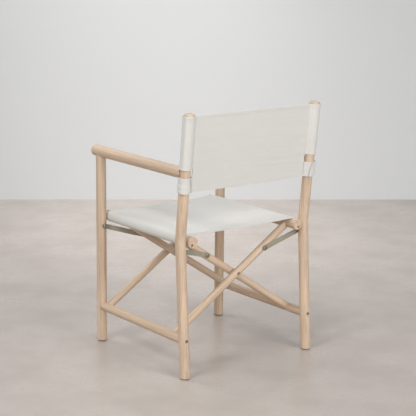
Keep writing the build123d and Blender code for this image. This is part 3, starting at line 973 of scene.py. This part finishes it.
def make_seam_allowance(name, side, body):
    """Strip of the sleeve's cloth that lies on the front of the back panel along its seam."""
    s = canvas_settings()
    low = BACK_BOTTOM + 0.003
    high = BACK_TOP - 0.003
    height = high - low
    rows = sorted(set(round(v, 5) for v in steps(0.0, 1.0, 60) + cut_rows(low, height)))

    def surface(u, v):
        level = low + height * v
        bite = notch(level)
        inboard = SEAM_INBOARD + bite + (s.allowance - bite) * u
        bow = s.back_bow * sin(pi * (inboard - SEAM_INBOARD) / (2 * (POST_X - SEAM_INBOARD)))
        wave = 0.0005 * u * wrinkle(level * 40, side * 3.0, 6.0)
        return on_post(side, inboard, SEAM_BACK - s.thickness - 0.0010 - 0.0010 * u + bow + wave, level)

    def along(u, v):
        return surface(u if side < 0 else 1 - u, v)

    def half_thickness(u, v):
        return s.thickness / 2

    def flat_map(u, v):
        return (s.allowance * u, v * height + low)

    piece = cloth("seam_allowance_" + name, along, steps(0.0, 1.0, 12), rows, half_thickness, flat_map)
    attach(piece, body)


# ---------------------------------------------------------------- operators


class CHAIR_OT_stage(bpy.types.Operator):
    """Floor, wall, lights and camera"""

    bl_idname = "chair.stage"
    bl_label = "Stage"

    def execute(self, context):
        context.scene.view_settings.view_transform = "Standard"
        make_floor()
        make_wall()
        make_lights()
        make_camera()
        return {"FINISHED"}


class CHAIR_OT_woodwork(bpy.types.Operator):
    """Oiled wood on the posts, arms, rails and cross bars, each cut from its own plank"""

    bl_idname = "chair.woodwork"
    bl_label = "Woodwork"

    def execute(self, context):
        wooden = ("arm", "back_post", "cross", "front_post", "lower_rail", "seat_rail")
        upright = (0.0, 0.0, 1.0)
        lengthwise = (0.0, 1.0, 0.0)
        grains = {"front_post": upright, "back_post": upright, "arm_dowel": upright,
                  "armrest": lengthwise, "lower_rail": lengthwise, "seat_rail": lengthwise}
        piths = ((0.034, 0.012, 0.0), (-0.026, 0.031, 0.3), (0.011, -0.041, 0.7), (-0.038, -0.018, 1.1))
        for count, node in enumerate(n for n in sorted(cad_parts) if n.startswith(wooden)):
            low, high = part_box(node)
            grain = grains.get(node.rsplit("_", 1)[0])
            if node == "cross_spacers":
                grain = lengthwise
            if node.startswith("cross_bar_"):
                run = high.x - low.x
                grain = (-run if "outer" in node else run, 0.0, high.z - low.z)
            # The crossing's bolts and nuts are metal, and are only counted here.
            if grain is None:
                continue
            pith = piths[count % len(piths)]
            dress(node, wood_material("wood_" + node, (low + high) / 2, grain, pith))
        return {"FINISHED"}


class CHAIR_OT_metalwork(bpy.types.Operator):
    """Painted straps, plated bolts, brass bushes and inserts"""

    bl_idname = "chair.metalwork"
    bl_label = "Metalwork"

    def execute(self, context):
        s = finish_settings()
        steel = (0.30, 0.28, 0.25)
        rubbed_bolt = Vector(s.brass) * 0.9
        rubbed_brass = Vector(s.brass) * 1.2
        paint = coated_material("strap_powder_coat", s.paint, fine=1500.0, wear_colour=steel,
                                wear_amount=0.25, metallic=0.0, roughness=0.42)
        bronze = coated_material("bolt_bronze", s.bronze, fine=900.0, wear_colour=rubbed_bolt,
                                 wear_amount=0.6, metallic=1.0, roughness=0.34)
        brass = coated_material("turned_brass", s.brass, fine=1200.0, wear_colour=rubbed_brass,
                                wear_amount=0.4, metallic=1.0, roughness=0.30)
        families = {
            paint: ("strap_front", "strap_rear"),
            bronze: ("strap_pivot_bolts", "strap_bar_bolts", "rail_pivot_bolts", "cross_bolts",
                     "cross_nuts", "strap_washers"),
            brass: ("rail_bushes", "post_inserts", "bar_inserts"),
        }
        for material, names in families.items():
            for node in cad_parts:
                if node.startswith(names):
                    dress(node, material)
        return {"FINISHED"}


class CHAIR_OT_glides(bpy.types.Operator):
    """Nylon foot glides"""

    bl_idname = "chair.glides"
    bl_label = "Foot glides"

    def execute(self, context):
        colour = Vector(finish_settings().nylon)
        nylon = coated_material("glide_nylon", colour, fine=1100.0, wear_colour=colour * 1.8,
                                wear_amount=0.5, metallic=0.0, roughness=0.55, bump=0.4)
        for side in SIDES:
            dress("foot_glides_" + side, nylon)
        return {"FINISHED"}


class CHAIR_OT_seat(bpy.types.Operator):
    """Seat canvas with its hems, stitching and the rods in the rails"""

    bl_idname = "chair.seat"
    bl_label = "Seat canvas"

    def execute(self, context):
        colour = Vector(finish_settings().rod)
        rod = coated_material("rod_fibreglass", colour, fine=1400.0, wear_colour=colour * 1.1,
                              wear_amount=0.2, metallic=0.0, roughness=0.5)
        for side in SIDES:
            dress("keder_rod_" + side, rod)
        make_seat()
        return {"FINISHED"}


class CHAIR_OT_back_sleeves(bpy.types.Operator):
    """Sleeves of the back canvas above and below the arms, with their laps and seam allowances"""

    bl_idname = "chair.back_sleeves"
    bl_label = "Back sleeves"

    def execute(self, context):
        for name, side in SIDES.items():
            body = "frame_" + name
            node = "back_sleeves_" + name
            make_sleeve("sleeve_upper_" + name, side, CUT_HIGH, BACK_TOP, body, node,
                        hem_top=True, crease=UPPER_CREASE, seed=11.0)
            make_sleeve("sleeve_lower_" + name, side, BACK_BOTTOM, CUT_LOW, body, node,
                        hem_top=False, crease=LOWER_CREASE, seed=17.0)
            make_laps(name, side, body, seed=17.0)
            make_seam_allowance(name, side, body)
        return {"FINISHED"}


class CHAIR_OT_back_panel(bpy.types.Operator):
    """Back canvas between the sleeves"""

    bl_idname = "chair.back_panel"
    bl_label = "Back panel"

    def execute(self, context):
        make_back_panel()
        return {"FINISHED"}


# ---------------------------------------------------------------- stage


def flat_sheet(name, size_x, size_y, material):
    mesh = bpy.data.meshes.new(name)
    corners = [(-size_x / 2, -size_y / 2, 0), (size_x / 2, -size_y / 2, 0),
               (size_x / 2, size_y / 2, 0), (-size_x / 2, size_y / 2, 0)]
    mesh.from_pydata(corners, [], [(0, 1, 2, 3)])
    mesh.materials.append(material)
    made = add_object(name, mesh)
    return made


def make_floor():
    s = stage_settings()
    material, b, shader = new_material("concrete_floor", Specular_IOR_Level=0.6)
    place = b.add("TexCoord").outputs["Object"]
    ground = placed_group(
        b, "Speckle", Place=place, Fine=240.0, Broad=4.5, Light=rgba(s.floor), Dark=rgba(s.floor_dark)
    )
    b.link(ground["Color"], shader["Base Color"])
    b.link(b.ramp(ground["Mask"], 0.0, 1.0, 0.26, 0.40), shader["Roughness"])
    b.link(b.bump(ground["Height"], 0.0006, 0.05), shader["Normal"])
    floor = flat_sheet("floor", 60.0, 60.0, material)
    floor.location.z = -0.0004


def make_wall():
    """The wall stands behind the chair, and doesn't show from its back."""
    s = stage_settings()
    material, b, shader = new_material("plaster_wall", Roughness=0.95, Specular_IOR_Level=0.1)
    place = b.add("TexCoord").outputs["Object"]
    plaster = placed_group(
        b, "Speckle", Place=place, Fine=90.0, Broad=0.8, Light=rgba(s.wall),
        Dark=rgba(Vector(s.wall) * 0.985),
    )
    b.link(plaster["Color"], shader["Base Color"])
    clear = b.add("BsdfTransparent")
    either = b.add("MixShader")
    end = material.node_tree.nodes["Material Output"]
    b.link(b.add("NewGeometry").outputs["Backfacing"], either.inputs[0])
    b.link(material.node_tree.nodes["Principled BSDF"].outputs[0], either.inputs[1])
    b.link(clear.outputs[0], either.inputs[2])
    b.link(either.outputs[0], end.inputs["Surface"])
    width = 16.0
    height = 6.0
    wall = flat_sheet("wall", width, height, material)
    facing = Vector((cos(s.wall_azimuth), sin(s.wall_azimuth), 0.0))
    wall.rotation_mode = "QUATERNION"
    wall.rotation_quaternion = facing.to_track_quat("Z", "Y")
    wall.location = -facing * s.wall_distance + Vector((0, 0, height / 2 - 0.0004))


def new_light(name, kind, place, aim, watts):
    """Light at a place, turned towards the aim."""
    data = bpy.data.lights.new(name, kind)
    data.energy = watts
    light = add_object(name, data)
    light.location = place
    light.rotation_mode = "QUATERNION"
    light.rotation_quaternion = (Vector(place) - Vector(aim)).to_track_quat("Z", "Y")
    return data


def towards(azimuth, elevation, distance, aim):
    """Point at a distance from the aim, in a direction given by azimuth and elevation."""
    level = cos(elevation)
    away = Vector((cos(azimuth) * level, sin(azimuth) * level, sin(elevation)))
    return Vector(aim) + away * distance


def spot_light(name, place, aim, watts, spread, width):
    data = new_light(name, "SPOT", place, aim, watts)
    data.spot_size = spread
    data.spot_blend = 1.0
    data.shadow_soft_size = width / 2


def area_light(name, place, aim, watts, width):
    data = new_light(name, "AREA", place, aim, watts)
    data.size = width


def make_lights():
    """Two soft lights on the chair, a fill at the camera, and pools on the wall and the floor behind."""
    s = stage_settings()
    chair = Vector((0.0, 0.0, 0.35))
    left = towards(radians(12), radians(46), 4.0, chair)
    spot_light("light_left", left, chair, s.key_left, radians(60), 1.2)
    right = towards(radians(95), radians(28), 4.5, chair)
    area_light("light_right", right, chair, s.key_right, 2.0)
    area_light("light_fill", towards(s.camera_azimuth, radians(20), 5.0, chair), chair, s.fill, 2.6)
    area_light("light_front", towards(radians(-75), radians(52), 4.5, chair), chair, s.front, 2.4)
    behind = Vector((-cos(s.wall_azimuth), -sin(s.wall_azimuth), 0.0))
    across = Vector((-sin(s.wall_azimuth), cos(s.wall_azimuth), 0.0))
    wall = behind * s.wall_distance
    high = across * -0.30 + Vector((0.0, 0.0, 3.2))
    spot_light("light_wall_high", behind * 0.6 + high, wall + across * -0.30 + Vector((0.0, 0.0, 1.1)),
               s.wall_high, radians(50), 0.8)
    spot_light("light_wall_wide", behind * -1.0 + across * 0.1 + Vector((0.0, 0.0, 3.6)),
               wall + across * 0.1 + Vector((0.0, 0.0, 0.75)), s.wall_wide, radians(60), 1.0)
    pool = behind * 1.7 + across * 0.05
    spot_light("light_floor", pool + Vector((0.0, 0.0, 3.4)), pool, s.floor_pool, radians(46), 1.0)
    world = bpy.data.worlds.new("studio")
    world.use_nodes = True
    background = world.node_tree.nodes["Background"]
    background.inputs["Color"].default_value = (0.96, 0.97, 1.0, 1.0)
    background.inputs["Strength"].default_value = s.ambient
    bpy.context.scene.world = world


def make_camera():
    s = stage_settings()
    back = towards(s.camera_azimuth, s.camera_elevation, 1.0, (0.0, 0.0, 0.0))
    data = bpy.data.cameras.new("camera")
    data.sensor_width = 36.0
    data.lens = s.lens
    data.clip_end = 100.0
    camera = add_object("camera", data)
    level = back.to_track_quat("Z", "Y").to_matrix()
    camera.rotation_mode = "QUATERNION"
    camera.rotation_quaternion = (level @ Matrix.Rotation(s.camera_roll, 3, "Z")).to_quaternion()
    camera.location = Vector(s.camera_target) + back * s.camera_distance
    bpy.context.scene.camera = camera


# ---------------------------------------------------------------- panel and registration


STEPS = ("stage", "woodwork", "metalwork", "glides", "seat", "back_sleeves", "back_panel")


class CHAIR_PT_build(bpy.types.Panel):
    """Settings and steps of the chair"""

    bl_idname = "CHAIR_PT_build"
    bl_label = "Director chair"
    bl_space_type = "VIEW_3D"
    bl_region_type = "UI"
    bl_category = "Chair"

    def draw(self, context):
        for group in (context.scene.chair_canvas, context.scene.chair_finish, context.scene.chair_stage):
            box = self.layout.box()
            for name in group.__annotations__:
                box.prop(group, name)
        for step in STEPS:
            self.layout.operator("chair." + step)


CLASSES = (
    ChairCanvasSettings, ChairFinishSettings, ChairStageSettings, CHAIR_OT_stage, CHAIR_OT_woodwork,
    CHAIR_OT_metalwork, CHAIR_OT_glides, CHAIR_OT_seat, CHAIR_OT_back_sleeves, CHAIR_OT_back_panel,
    CHAIR_PT_build,
)


def register():
    for kind in CLASSES:
        bpy.utils.register_class(kind)
    bpy.types.Scene.chair_canvas = bpy.props.PointerProperty(type=ChairCanvasSettings)
    bpy.types.Scene.chair_finish = bpy.props.PointerProperty(type=ChairFinishSettings)
    bpy.types.Scene.chair_stage = bpy.props.PointerProperty(type=ChairStageSettings)


def unregister():
    del bpy.types.Scene.chair_stage
    del bpy.types.Scene.chair_finish
    del bpy.types.Scene.chair_canvas
    for kind in reversed(CLASSES):
        bpy.utils.unregister_class(kind)


def main():
    register()
    for step in STEPS:
        getattr(bpy.ops.chair, step)()


if __name__ == "__main__":
    main()
